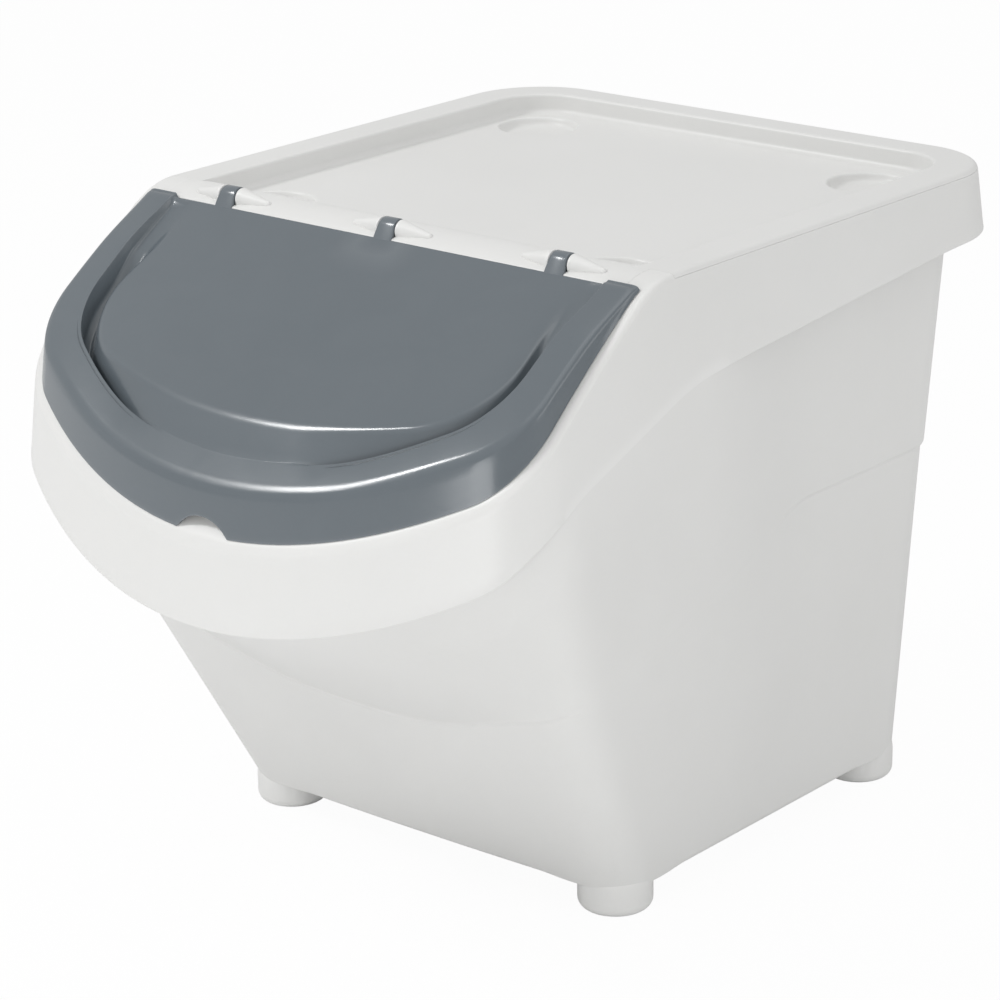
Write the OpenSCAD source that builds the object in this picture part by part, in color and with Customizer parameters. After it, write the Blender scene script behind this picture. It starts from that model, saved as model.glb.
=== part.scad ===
// Stackable bin with a hinged front flap.
// The tub stands on four round feet, and its rim is turned over into a skirt. The top cover lies in the rim and
// is sunk into a tray, in which the feet of another bin stand. The flap turns on three pins at the front of the
// cover and closes the sloping mouth.
// Origin: on the floor, midway between the four feet. Front is -Y, +Z is up.

/* [Overall] */
// Height of the top rim above the floor
height = 320; // [300:1:345]
// Width across the top rim
rim_width = 306; // [296:1:320]
// Distance from the feet's middle to the back of the top rim
rim_back = 151.5; // [148:0.5:160]
// Distance from the feet's middle to the front of the top rim
rim_front = 265; // [255:0.5:278]
// Wall thickness of the tub and the cover
wall = 2; // [1.6:0.1:2.6]

/* [Base and feet] */
// Width of the tub's base
base_width = 242; // [232:1:250]
// Depth of the tub's base
base_depth = 240; // [232:1:246]
// Distance between the feet's centres, left to right
foot_pitch_x = 207; // [195:1:209]
// Distance between the feet's centres, front to back
foot_pitch_y = 201; // [190:1:203]
// Diameter of a foot
foot_diameter = 36; // [28:0.5:37]
// Height of a foot, from the floor to the underside of the base
foot_height = 14.5; // [12:0.5:20]
// Radius of the rounded bottom edge of a foot
foot_edge = 5; // [2:0.5:8]

/* [Tub] */
// Forward lean of the lower front wall, in mm for each mm of height
front_lean = 0.5; // [0.3:0.05:0.6]
// Height of the crease where the front wall turns out into the chute, at its middle
chute_height = 93; // [80:1:110]
// Height of the stacking step in the back and the sides
step_height = 178; // [150:1:200]
// Depth of the stacking step
step_depth = 1.6; // [0:0.1:3]

/* [Cover] */
// Height of the skirt at the back
skirt_height = 33; // [28:1:42]
// Outward flare of the skirt at its lower edge
skirt_flare = 3.5; // [1:0.25:5]
// Radius of the rim's outer edge
rim_edge = 3.5; // [2:0.25:5]
// Width of the ledge round the mouth
ledge_width = 14; // [12:0.5:17]
// Slack between the tub and the cover
cover_slack = 0.2; // [0.1:0.05:0.5]

/* [Mouth] */
// Drop from the top rim to the mouth's front lip
mouth_drop = 112.6; // [108:0.2:118]
// Slope of the mouth at its top, in degrees
mouth_top_angle = 36; // [34:0.5:38]
// Slope of the mouth at its front lip, in degrees
mouth_lip_angle = 46; // [44:0.5:48]

/* [Recessed top] */
// Width of the flat rim at the sides of the recess
rim_land = 21.5; // [18:0.5:26]
// Width of the flat rim behind the recess
rim_land_back = 19.5; // [18.5:0.5:26]
// Depth of the recess
tray_depth = 10; // [8:0.5:14]
// Corner radius of the recess
tray_radius = 26; // [18:1:32]
// Depth of the dimples that take the feet of the next bin
dimple_depth = 4.5; // [3:0.25:6]
// Slack all round a foot in its dimple
dimple_slack = 2; // [1:0.25:3]

/* [Flap] */
// Sheet thickness of the flap
flap_wall = 1.8; // [1.4:0.1:2.4]
// Slope of the flap's flange at the hinge, in degrees
flange_angle = 30; // [28.5:0.1:31]
// Height of the flange above the raised panel at the hinge
flange_rise = 3.5; // [1:0.25:4.5]
// Slope of the flap's raised panel, in degrees
panel_angle = 30.5; // [28.5:0.1:31.5]
// Depth of the grooves beside the raised panel
groove_depth = 6; // [2:0.25:7]
// Width of the finger notch in the flap's front edge
notch_width = 31; // [24:0.5:40]
// Height of the finger notch
notch_height = 8; // [6:0.25:10]

/* [Hinge] */
// Distance between neighbouring hooks
hook_pitch = 100; // [80:1:104]
// Width of a hook
hook_width = 9; // [7:0.25:12]
// Diameter of a hinge pin
pin_diameter = 6; // [5:0.1:6.6]
// Radial running clearance of a hook on its pin
pin_slack = 0.06; // [0.03:0.01:0.1]
// Thickness of a hook
hook_wall = 2; // [1.6:0.1:2.4]
// Length of the fairing beside each hook
fairing_length = 18.5; // [14:0.5:24]

/* [Hidden] */

$fn = 64;
eps = 0.02;
white = [0.93, 0.93, 0.92];
grey = [0.42, 0.45, 0.48];

// Numbers of points along the stretches of half an outline
back_steps = 3;
back_corner_steps = 6;
side_steps = 13;
front_corner_steps = 8;
front_arc_steps = 7;

// Corner radii and front arcs of the base, the rim and the flap's curves
base_corner = 21;
base_front_arc = 3000;
rim_corner = 44;
rim_front_arc = 285;
rim_front_corner = 37;

// Levels and slopes of the cover
mouth_slope = tan(mouth_top_angle);
lip_inset = 3;
lip_y = -rim_front + lip_inset;
mouth_length = 2 * mouth_drop / (mouth_slope + tan(mouth_lip_angle));
mouth_bend = (tan(mouth_lip_angle) - mouth_slope) / (2 * mouth_length);
shoulder_y = lip_y + mouth_length;
shoulder_blend = 14;
hinge_y = shoulder_y - 4.5;
seat_slack = 0.4;
skirt_bends = [[105, 0.083, 30], [-105, 0.31, 20], [-190, 0.25, 8], [-215, 0.37, 8]];

// Where the tub stands back from the skirt, and where it meets it flush
side_land = 18.5;
back_land = 17.5;
front_overhang = 14;
flush_start_y = -105;
flush_end_y = 10;
chute_start_y = -190;
chute_blend = 45;
hidden_inset = 1.2;
land_y = shoulder_y + shoulder_blend;

// The recess and its dimples
tray_half = rim_width / 2 - rim_land;
tray_back = rim_back - rim_land_back;
floor_z = height - tray_depth;
dimple_radius = foot_diameter / 2 + dimple_slack;
tray_floor_y = -foot_pitch_y / 2;
rail_y = land_y;
rail_lip = 6;

// The hinge
pin_y = hinge_y + 7.6;
hook_bore = pin_diameter / 2 + pin_slack;
hook_radius = hook_bore + hook_wall;
flap_rear_z = height - 4.4;
pin_z = flap_rear_z + 3.4;
slot_slack = 0.75;
slot_width = hook_width + 2 * slot_slack;

// The flap's relief
flange_bend = 0.00123;
groove_start = rim_width / 2 - 58;
groove_blend = 25;

// A ramp with a rounded foot: 0 below -b, t above b
function ramp(t, b) = t <= -b ? 0 : t >= b ? t : (t + b) * (t + b) / (4 * b);

// A smooth step from 0 at t = 0 to 1 at t = 1
function smooth(t) = t <= 0 ? 0 : t >= 1 ? 1 : t * t * (3 - 2 * t);

function mix(a, b, t) = a + (b - a) * t;

// Heights of the rim and of its skirt's lower edge at a given y. Forward of the shoulder the rim is the mouth.
function rim_z(y) =
    let (t = ramp(shoulder_y - y, shoulder_blend))
    height - mouth_slope * t - mouth_bend * t * t;
function skirt_z(y) = height - skirt_height - sum([for (b = skirt_bends) b[1] * ramp(b[0] - y, b[2])]);
function sum(v, i = 0) = i >= len(v) ? 0 : v[i] + sum(v, i + 1);

// An outline's point is [x, y, outward normal x, outward normal y].
// A stretch from (w, y_top) forward, round a corner and along a shallow front arc to (0, y_front)
function front_curve(w, y_front, arc, corner, y_top) =
    let (phi = asin((w - corner) / (arc - corner)),
         corner_y = y_front + arc - (arc - corner) * cos(phi))
    concat(
        [for (i = [0 : side_steps - 1]) [w, mix(y_top, corner_y, i / side_steps), 1, 0]],
        [for (i = [0 : front_corner_steps - 1])
            let (a = -(90 - phi) * i / front_corner_steps)
            [w - corner + corner * cos(a), corner_y + corner * sin(a), cos(a), sin(a)]],
        [for (i = [0 : front_arc_steps])
            let (a = phi * (1 - i / front_arc_steps))
            [arc * sin(a), y_front + arc - arc * cos(a), sin(a), -cos(a)]]);

function mirrored(half) = [for (i = [len(half) - 2 : -1 : 1])
    let (p = half[i]) [-p[0], p[1], -p[2], p[3]]];

// A closed outline from the middle of the back, clockwise as seen from above
function plan_ring(w, y_back, back_corner, y_front, arc, corner) =
    let (half = concat(
            [for (i = [0 : back_steps - 1]) [(w - back_corner) * i / back_steps, y_back, 0, 1]],
            [for (i = [0 : back_corner_steps - 1])
                let (a = 90 * (1 - i / back_corner_steps))
                [w - back_corner + back_corner * cos(a), y_back - back_corner + back_corner * sin(a),
                 cos(a), sin(a)]],
            front_curve(w, y_front, arc, corner, y_back - back_corner)))
    concat(half, mirrored(half));

function inset(p, d) = [p[0] - d * p[2], p[1] - d * p[3], p[2], p[3]];

base_ring = plan_ring(base_width / 2, base_depth / 2, base_corner,
    -base_depth / 2, base_front_arc, base_corner);
rim_ring = plan_ring(rim_width / 2, rim_back, rim_corner, -rim_front, rim_front_arc, rim_front_corner);
skirt_ring = [for (p = rim_ring) inset(p, -skirt_flare)];

// Rings of points in space
function base_level(d, z) = [for (p = base_ring) let (q = inset(p, d)) [q[0], q[1], z]];
function rim_level(d, drop) = [for (p = rim_ring) let (q = inset(p, d)) [q[0], q[1], rim_z(q[1]) - drop]];
function skirt_level(d, drop) = [for (p = skirt_ring) let (q = inset(p, d)) [q[0], q[1], skirt_z(p[1]) - drop]];

// A solid through a list of rings, either wrapped round on itself or closed by its first and last ring
module loft(rings, wrapped = false) {
    n = len(rings[0]);
    m = len(rings);
    sides = [for (i = [0 : wrapped ? m - 1 : m - 2], j = [0 : n - 1])
        let (a = i * n + j, b = i * n + (j + 1) % n, c = (i + 1) % m * n + (j + 1) % n, d = (i + 1) % m * n + j)
        each [[a, b, c], [a, c, d]]];
    corner = back_steps + back_corner_steps / 2;
    caps = wrapped ? [] : [
        [for (j = [n : -1 : 1]) (j + corner) % n],
        [for (j = [0 : n - 1]) (m - 1) * n + (j + corner) % n]];
    polyhedron([for (r = rings) each r], concat(sides, caps), convexity = 8);
}

// ---- Tub ----

// How far the tub's wall stands back from the lower edge of its turned-over rim
function chute_part(p) = smooth((chute_start_y - p[1]) / chute_blend);
function land(p) = smooth((p[1] - flush_start_y) / (flush_end_y - flush_start_y))
        * (side_land - (side_land - back_land) * max(p[3], 0))
    + front_overhang * chute_part(p);
function wall_at(p) = wall * (1 + 0.8 * chute_part(p));
function wall_top_inset(p) = max(land(p) - skirt_flare, hidden_inset);

// Height of the crease at the front, running back into the stacking step
function crease_z(y) = lookup(y, [[-rim_front, chute_height], [-250, chute_height + 16],
    [-225, chute_height + 30], [-190, chute_height + 42], [-10, step_height]]);

// The wall at the crease between the base and the rim, set in by d
function crease_level(d, low) = [for (j = [0 : len(base_ring) - 1])
    let (b = base_ring[j],
         s = skirt_ring[j],
         r = inset(s, land(s)),
         z = crease_z(s[1]),
         upright = (z - foot_height) / (skirt_z(s[1]) - foot_height),
         leaning = front_lean * (z - foot_height) / max(1, -r[1] - base_depth / 2),
         t = mix(upright, leaning, chute_part(s)),
         set_in = d * wall_at(s) + (low ? step_depth * smooth((r[1] + 60) / 80) : 0))
    [mix(b[0], r[0], t) - set_in * s[2], mix(b[1], r[1], t) - set_in * s[3], z + (low ? -0.8 : 0.8)]];

// The wall where it passes the rim's lower edge, and its top inside the rim
function shoulder_level(d) = [for (p = skirt_ring)
    let (q = inset(p, max(land(p), eps) + d * wall_at(p))) [q[0], q[1], skirt_z(p[1])]];
function wall_top(d) = [for (p = rim_ring)
    let (q = inset(p, wall_top_inset(p) + d)) [q[0], q[1], rim_z(q[1]) - wall / 2]];

// The inner edge of the rim's flange
function flange_level(drop) = [for (p = rim_ring)
    let (q = inset(p, max(ledge_width, wall_top_inset(p) + wall + 0.1))) [q[0], q[1], rim_z(q[1]) - drop]];

function edge_levels(from) = [for (i = [0 : 3])
    let (a = mix(from, 90, i / 3)) rim_level(rim_edge * (1 - cos(a)), rim_edge * (1 - sin(a)))];

module basin() {
    edge = 4;
    loft([
        base_level(edge, foot_height),
        base_level(edge * 0.29, foot_height + edge * 0.29),
        base_level(0, foot_height + edge),
        crease_level(0, true),
        crease_level(0, false),
        shoulder_level(0),
        wall_top(0),
        wall_top(wall),
        shoulder_level(1),
        crease_level(1, false),
        crease_level(1, true),
        base_level(wall, foot_height + edge + wall),
        base_level(wall + edge, foot_height + wall)
    ]);
}

// The rim, turned over outwards and down into a skirt
module turned_rim() {
    lead = rim_edge / 2;
    loft(concat(
        [skirt_level(0, 0)],
        edge_levels(0),
        [flange_level(0),
         flange_level(wall),
         rim_level(wall + lead, wall),
         rim_level(wall, wall + lead),
         skirt_level(wall, 0)]),
        wrapped = true);
}

module foot() {
    rotate_extrude() {
        square([foot_diameter / 2 - foot_edge, foot_height + wall]);
        translate([0, foot_edge])
            square([foot_diameter / 2, foot_height + wall - foot_edge]);
        intersection() {
            translate([foot_diameter / 2 - foot_edge, foot_edge])
                circle(r = foot_edge);
            square([foot_diameter / 2, foot_edge]);
        }
    }
}

module at_feet() {
    for (x = [-1, 1], y = [-1, 1])
        translate([x * foot_pitch_x / 2, y * foot_pitch_y / 2, 0])
            children();
}

module tub() {
    rebate = wall + cover_slack;
    color(white)
        difference() {
            union() {
                basin();
                turned_rim();
                at_feet()
                    foot();
            }
            translate([-rim_width, land_y, height - rebate])
                cube([2 * rim_width, 2 * rim_width, 2 * rebate]);
            at_feet()
                translate([0, 0, wall])
                    cylinder(d = foot_diameter - 3 * wall, h = foot_height + wall);
        }
}

// ---- Top cover ----

// A profile drawn in the y-z plane, stretched across the bin from x0 to x1
module across(x0, x1) {
    translate([x0, 0, 0])
        rotate([90, 0, 90])
            linear_extrude(x1 - x0)
                children();
}

module both_sides() {
    children();
    mirror([1, 0, 0])
        children();
}

module round_square(half, back, front, radius) {
    translate([-half, front])
        square([2 * half, back - radius - front]);
    translate([radius - half, front])
        square([2 * (half - radius), back - front]);
    for (x = [-1, 1])
        translate([x * (half - radius), back - radius])
            circle(r = radius);
}

// The surface the recess's floor follows towards the hinge, from the back to the front
// The recess's floor rises to the land in front and bends down with it to the hinge
function rail_line(front = hinge_y + seat_slack) = [for (i = [0 : 14])
    let (y = mix(tray_floor_y, front, i / 14))
    [y, mix(floor_z, rim_z(y), smooth((tray_floor_y - y) / (tray_floor_y - rail_y)))]];

module rail_profile() {
    line = rail_line();
    front = line[14];
    polygon(concat(
        [[tray_floor_y + 1, floor_z]],
        line,
        [front - [0, rail_lip], front - [-wall, rail_lip], front - [-wall, wall]],
        [for (i = [13 : -1 : 0]) line[i] - [0, wall]],
        [[tray_floor_y + 1, floor_z - wall]]));
}

// The land beside the recess, where it bends down into the mouth's slope
module shoulder_profile(depth) {
    ys = [for (i = [0 : 8]) mix(shoulder_y + shoulder_blend, hinge_y + seat_slack, i / 8)];
    polygon(concat(
        [[ys[0] + 1, height]],
        [for (y = ys) [y, rim_z(y)]],
        depth > 0
            ? [[ys[8], floor_z - wall - depth], [ys[0] + 1, floor_z - wall - depth]]
            : [for (i = [8 : -1 : 0]) [ys[i], rim_z(ys[i]) - wall]],
        depth > 0 ? [] : [[ys[0] + 1, height - wall]]));
}

// The rim's outline cut off straight at the front of the land
function land_ring(level) =
    let (front = land_y + cover_slack,
         kept = [for (p = level) if (p[1] > front + eps) p],
         side = level[back_steps + back_corner_steps][0],
         z = level[0][2],
         n = len([for (p = kept) if (p[0] >= 0) p]))
    concat([for (i = [0 : n - 1]) kept[i]], [[side, front, z], [-side, front, z]],
           [for (i = [n : len(kept) - 1]) kept[i]]);

module land_plate() {
    start = asin(max(0, 1 - wall / rim_edge));
    difference() {
        loft(concat(
            [land_ring([for (p = rim_level(rim_edge * (1 - cos(start)), 0)) [p[0], p[1], height - wall]])],
            [for (level = edge_levels(start)) if (level[0][2] > height - wall + eps) land_ring(level)]));
        translate([0, 0, height - 2 * wall])
            linear_extrude(3 * wall)
                round_square(tray_half, tray_back, land_y - 1, tray_radius);
    }
}

module tray() {
    land_plate();
    translate([0, 0, floor_z - wall])
        linear_extrude(tray_depth + wall / 2)
            difference() {
                round_square(tray_half + wall, tray_back + wall, land_y, tray_radius + wall);
                round_square(tray_half, tray_back, land_y - 1, tray_radius);
            }
    translate([0, 0, floor_z - wall])
        linear_extrude(wall)
            round_square(tray_half + wall / 2, tray_back + wall / 2, tray_floor_y, tray_radius);
    across(-tray_half - wall / 2, tray_half + wall / 2)
        rail_profile();
    both_sides() {
        across(tray_half, tray_half + wall)
            shoulder_profile(1);
        across(tray_half, rim_width / 2 - ledge_width - cover_slack)
            shoulder_profile(0);
    }
}

// The cups under the four dimples
module dimple_cups() {
    intersection() {
        at_feet()
            translate([0, 0, floor_z - dimple_depth - wall])
                cylinder(r = dimple_radius + wall, h = tray_depth + dimple_depth);
        across(-tray_half, tray_half)
            polygon(concat(
                [[tray_back, floor_z]],
                rail_line(rail_y - 4),
                [[rail_y - 4, floor_z - 20], [tray_back, floor_z - 20]]));
    }
}

module dimple_cuts() {
    at_feet()
        translate([0, 0, floor_z - dimple_depth])
            cylinder(r = dimple_radius, h = height);
}

module at_hooks() {
    for (i = [-1 : 1])
        translate([i * hook_pitch, pin_y, pin_z])
            children();
}

// A cone on either side of a hook, along the line of its pin
module fairings() {
    tip = 1.2;
    both_sides()
        translate([slot_width / 2 - 1, 0, 0])
            rotate([0, 90, 0])
                cylinder(r1 = hook_radius, r2 = tip, h = fairing_length + 1);
}

module slot_cut() {
    front = hinge_y - pin_y - 2;
    translate([-slot_width / 2, front, -2 * rail_lip])
        cube([slot_width, hook_radius + 4 * slot_slack - front, 4 * rail_lip]);
}

module top_cover() {
    color(white) {
        difference() {
            union() {
                tray();
                dimple_cups();
                at_hooks()
                    fairings();
            }
            dimple_cuts();
            at_hooks()
                slot_cut();
        }
        at_hooks()
            rotate([0, 90, 0])
                cylinder(d = pin_diameter, h = slot_width + 2, center = true);
    }
}

// ---- Flap ----

function flange_z(y) =
    let (t = hinge_y - y)
    flap_rear_z + flange_rise * smooth(t / 6) - tan(flange_angle) * t - flange_bend * t * t;
function panel_z(y) = flap_rear_z + tan(panel_angle) * (y - hinge_y);
function groove(x, y) = groove_depth * smooth((hinge_y - 1.4 - y) / 35)
    * smooth((abs(x) - groove_start) / groove_blend);
function seat_z(y) = rim_z(y) + seat_slack;

// The flap's outline, set in from the rim by one amount at the sides and another at the front
function flap_curve(side, front) =
    let (half = front_curve(rim_width / 2 - side, -rim_front + front, rim_front_arc - 0.6 * front,
                            rim_front_corner - 0.3 * side, hinge_y))
    concat(half, mirrored(half), [[-half[0][0], half[0][1], -half[0][2], half[0][3]]]);

// A curve spread sideways towards the hinge
function widened(curve, shift) = [for (p = curve)
    [p[0] + sign(p[0]) * shift * (1 - smooth((hinge_y - 8 - p[1]) / 50)), p[1], p[2], p[3]]];

function over_seat(y, z, least) = max(z, seat_z(y) + least);

// The levels of the flap from the edge of its skirt up to its raised panel.
// With under true they follow the underside instead of the top.
function flap_levels(under) =
    let (t = flap_wall,
         slant = 1.22 * t,
         edge_d = [t, t, t, t, -0.6 * t, -0.3 * t, -0.2 * t, 0.8 * t, 0.3 * t],
         edge_z = [0, 0.3 * t, 0.9 * t, slant, slant, slant, slant, t, slant],
         rear_shift = [0, 0, 0, 0, 0.4, 0.9, 3.6, 6.3, 8])
    [for (k = [0 : 8])
        let (curve = widened(flap_curve([5, 5.8, 6.4, 8.4, 19.6, 22.3, 26.5, 30.5, 36][k],
                                        [lip_inset, 4.6, 5.4, 7.6, 12, 14.5, 16.3, 25, 29][k]),
                             rear_shift[k]))
        [for (p = curve)
            let (q = under ? inset(p, edge_d[k]) : p,
                 x = q[0],
                 y = q[1],
                 sink = smooth((hinge_y - y) / 20),
                 top = k == 0 ? seat_z(y)
                     : k == 1 ? over_seat(p[1], flange_z(p[1]) - 2.8, 0.5 * t)
                     : k == 2 ? over_seat(p[1], flange_z(p[1]) - 0.8, 0.8 * t)
                     : k == 3 || k == 4 ? over_seat(p[1], flange_z(p[1]), t)
                     : k == 5 ? flange_z(p[1]) - groove(p[0], p[1])
                     : k == 6 ? min(panel_z(p[1]) - 3.5 * sink, flange_z(p[1]) + 1 - 1.1 * groove(p[0], p[1]))
                     : k == 7 ? panel_z(p[1]) - sink
                     : panel_z(y))
            [x, y, under ? (k < 5 ? over_seat(y, top - edge_z[k], 0) : top - edge_z[k]) : top]]];

module flap_shell() {
    levels = concat(flap_levels(false), flap_levels(true));
    n = len(levels[0]);
    middle = (n - 1) / 2;
    last = 8;
    function at(k, j) = k * n + j;
    function strip(k0, k1, turn) = [for (j = [0 : n - 2])
        let (a = at(k0, j), b = at(k0, j + 1), c = at(k1, j + 1), d = at(k1, j))
        each turn ? [[a, c, b], [a, d, c]] : [[a, b, c], [a, c, d]]];
    function end(k, j, turn) =
        let (a = at(k, j), b = at(k + 1, j), c = at(k + 1 + last + 1, j), d = at(k + last + 1, j))
        turn ? [[a, c, b], [a, d, c]] : [[a, b, c], [a, c, d]];
    polyhedron([for (l = levels) each l], concat(
        [for (k = [0 : last - 1]) each strip(k, k + 1, false)],
        [for (k = [0 : last - 1]) each strip(k + last + 1, k + last + 2, true)],
        strip(0, last + 1, true),
        [[for (j = [0 : n - 1]) at(last, (j + middle) % n)]],
        [[for (j = [n : -1 : 1]) at(2 * last + 1, (j + middle) % n)]],
        [for (k = [0 : last - 1]) each end(k, 0, false)],
        [for (k = [0 : last - 1]) each end(k, n - 1, true)],
        [[at(last, 0), at(last, n - 1), at(2 * last + 1, n - 1)],
         [at(last, 0), at(2 * last + 1, n - 1), at(2 * last + 1, 0)]]),
        convexity = 8);
}

// A hook that snaps over its pin from above, drawn about the pin's centre
module hook() {
    root = hinge_y - 2.5;
    root_z = panel_z(root) - pin_z;
    across(-hook_width / 2, hook_width / 2)
        difference() {
            union() {
                circle(r = hook_radius);
                polygon([
                    hook_radius * [cos(140), sin(140)],
                    hook_radius * [cos(165), sin(165)] + [-0.6, 0.4],
                    [root - pin_y, root_z],
                    [root - pin_y, root_z - 1.2 * flap_wall],
                    hook_radius * [cos(235), sin(235)],
                    [0, 0]
                ]);
            }
            circle(r = hook_bore);
            polygon([[0, 0], for (a = [250 : 20 : 330]) 2 * hook_radius * [cos(a), sin(a)]]);
        }
}

module flap() {
    notch_radius = notch_height / 2 + notch_width * notch_width / (8 * notch_height);
    color(grey) {
        difference() {
            flap_shell();
            translate([0, -rim_front + 40, seat_z(lip_y) + notch_height - notch_radius])
                rotate([90, 0, 0])
                    cylinder(r = notch_radius, h = 60);
        }
        at_hooks()
            hook();
    }
}

tub();
top_cover();
flap();
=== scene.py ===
import math

import bmesh
import bpy
import numpy as np
from mathutils import Matrix, Vector
from mathutils.geometry import delaunay_2d_cdt


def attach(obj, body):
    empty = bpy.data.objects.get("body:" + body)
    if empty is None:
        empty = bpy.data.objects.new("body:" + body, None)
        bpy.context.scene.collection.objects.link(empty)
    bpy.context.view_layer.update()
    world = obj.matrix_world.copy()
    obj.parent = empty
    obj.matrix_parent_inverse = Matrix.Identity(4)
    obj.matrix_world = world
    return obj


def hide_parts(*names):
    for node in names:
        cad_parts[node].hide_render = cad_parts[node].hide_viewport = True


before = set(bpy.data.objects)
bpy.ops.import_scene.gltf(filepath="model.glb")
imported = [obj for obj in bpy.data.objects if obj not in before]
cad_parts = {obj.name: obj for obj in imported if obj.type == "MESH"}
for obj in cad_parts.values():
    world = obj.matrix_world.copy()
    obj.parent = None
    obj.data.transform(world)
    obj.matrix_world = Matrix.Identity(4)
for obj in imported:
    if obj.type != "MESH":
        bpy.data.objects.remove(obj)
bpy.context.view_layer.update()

print("bin: the packed frame is loaded")

# Everything below is worked out in millimetres and put into meshes in metres.
# Origin on the floor midway between the feet, front towards -Y.


bin = {
    "height": 320.0, "rimHalf": 153.0, "rimBack": 151.5, "rimFront": 265.0,
    "rimCorner": 44.0, "rimArc": 285.0, "rimFrontCorner": 37.0, "rimEdge": 3.5,
    "baseHalf": 121.0, "baseDepth": 240.0, "baseCorner": 21.0, "baseArc": 3000.0,
    "wall": 2.0, "footHeight": 14.5, "ledge": 14.0,
    "mouthTop": math.tan(math.radians(36)), "mouthLip": math.tan(math.radians(46)), "mouthDrop": 112.6,
    "shoulderBlend": 14.0, "lipInset": 3.0,
}
mouthLength = 2 * bin["mouthDrop"] / (bin["mouthTop"] + bin["mouthLip"])
mouthBend = (bin["mouthLip"] - bin["mouthTop"]) / (2 * mouthLength)
shoulderY = -bin["rimFront"] + bin["lipInset"] + mouthLength
hingeY = shoulderY - 4.5
landY = shoulderY + bin["shoulderBlend"]


def ramp(t, b):
    t = np.asarray(t, float)
    return np.where(t <= -b, 0, np.where(t >= b, t, (t + b) ** 2 / (4 * b)))


def smooth(t):
    t = np.clip(t, 0, 1)
    return t * t * (3 - 2 * t)


def mix(a, b, t):
    return a + (b - a) * t


def rimZ(y):
    t = ramp(shoulderY - np.asarray(y, float), bin["shoulderBlend"])
    return bin["height"] - bin["mouthTop"] * t - mouthBend * t * t


def frontCurve(half, front, arc, corner, top, sides, cornerSteps, arcSteps):
    # [x, y, outward x, outward y] from the side forward, round the corner and along the front arc
    phi = math.asin((half - corner) / (arc - corner))
    cornerY = front + arc - (arc - corner) * math.cos(phi)
    rows = [[half, mix(top, cornerY, t), 1, 0] for t in sides]
    for i in range(cornerSteps):
        a = -(math.pi / 2 - phi) * i / cornerSteps
        rows.append([half - corner + corner * math.cos(a), cornerY + corner * math.sin(a),
                     math.cos(a), math.sin(a)])
    for i in range(arcSteps + 1):
        a = phi * (1 - i / arcSteps)
        rows.append([arc * math.sin(a), front + arc - arc * math.cos(a), math.sin(a), -math.cos(a)])
    return np.array(rows), cornerY


def mirrored(half):
    return half[-2:0:-1] * [-1, 1, -1, 1]


def planRing(half, back, backCorner, front, arc, corner, sides):
    rows = [[(half - backCorner) * i / 16, back, 0, 1] for i in range(16)]
    for i in range(16):
        a = math.pi / 2 * (1 - i / 16)
        rows.append([half - backCorner + backCorner * math.cos(a), back - backCorner + backCorner * math.sin(a),
                     math.cos(a), math.sin(a)])
    curve, cornerY = frontCurve(half, front, arc, corner, back - backCorner, sides, 26, 40)
    rows = np.vstack([rows, curve])
    return np.vstack([rows, mirrored(rows)])


def inset(ring, d):
    d = np.broadcast_to(np.asarray(d, float), (len(ring),))
    return ring[:, :2] - ring[:, 2:] * d[:, None]


def withZ(xy, z):
    return np.column_stack([xy, np.broadcast_to(np.asarray(z, float), (len(xy),))])


def roundRows(controls, radii, steps=5):
    # rows of points that follow the control rows, with each inner corner rounded to about its radius
    rows = [controls[0]]
    for before, here, after, radius in zip(controls, controls[1:], controls[2:], radii):
        toBefore, toAfter = before - here, after - here
        lenBefore = np.linalg.norm(toBefore, axis=1, keepdims=True)
        lenAfter = np.linalg.norm(toAfter, axis=1, keepdims=True)
        reach = np.minimum(np.minimum(radius, lenBefore * 0.46), lenAfter * 0.46)
        start = here + toBefore / np.maximum(lenBefore, 1e-9) * reach
        end = here + toAfter / np.maximum(lenAfter, 1e-9) * reach
        for t in np.linspace(0, 1, steps):
            rows.append(mix(mix(start, here, t), mix(here, end, t), t))
    rows.append(controls[-1])
    return rows


def gridFaces(rowCount, columnCount, closedColumns, closedRows=False, start=0):
    faces = []
    for i in range(rowCount if closedRows else rowCount - 1):
        for j in range(columnCount if closedColumns else columnCount - 1):
            a, b = start + i * columnCount + j, start + i * columnCount + (j + 1) % columnCount
            k = (i + 1) % rowCount
            faces.append((a, b, start + k * columnCount + (j + 1) % columnCount, start + k * columnCount + j))
    return faces


def insideLoop(points, loop):
    x, y = points[:, 0], points[:, 1]
    inside = np.zeros(len(points), bool)
    for (x0, y0), (x1, y1) in zip(loop, np.roll(loop, -1, axis=0)):
        crosses = (y0 > y) != (y1 > y)
        with np.errstate(divide="ignore", invalid="ignore"):
            at = x0 + (y - y0) * (x1 - x0) / (y1 - y0)
        inside ^= crosses & (x < at)
    return inside


def fillLoops(outer, holes, extra=()):
    # triangles between an outer loop and its holes: points and faces
    loops = [outer] + list(holes)
    points, edges = [], []
    for loop in loops:
        n = len(points)
        points += [Vector(p) for p in loop]
        edges += [(n + i, n + (i + 1) % len(loop)) for i in range(len(loop))]
    points += [Vector(p) for p in extra]
    made, _, faces, *_ = delaunay_2d_cdt(points, edges, [], 0, 1e-5)
    made = np.array([tuple(p) for p in made])
    faces = np.array([f for f in faces if len(f) == 3])
    middles = made[faces].mean(axis=1)
    keep = insideLoop(middles, np.array(outer))
    for hole in holes:
        keep &= ~insideLoop(middles, np.array(hole))
    used, faces = np.unique(faces[keep], return_inverse=True)
    return made[used], [tuple(int(i) for i in f) for f in faces.reshape(-1, 3)]


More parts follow.
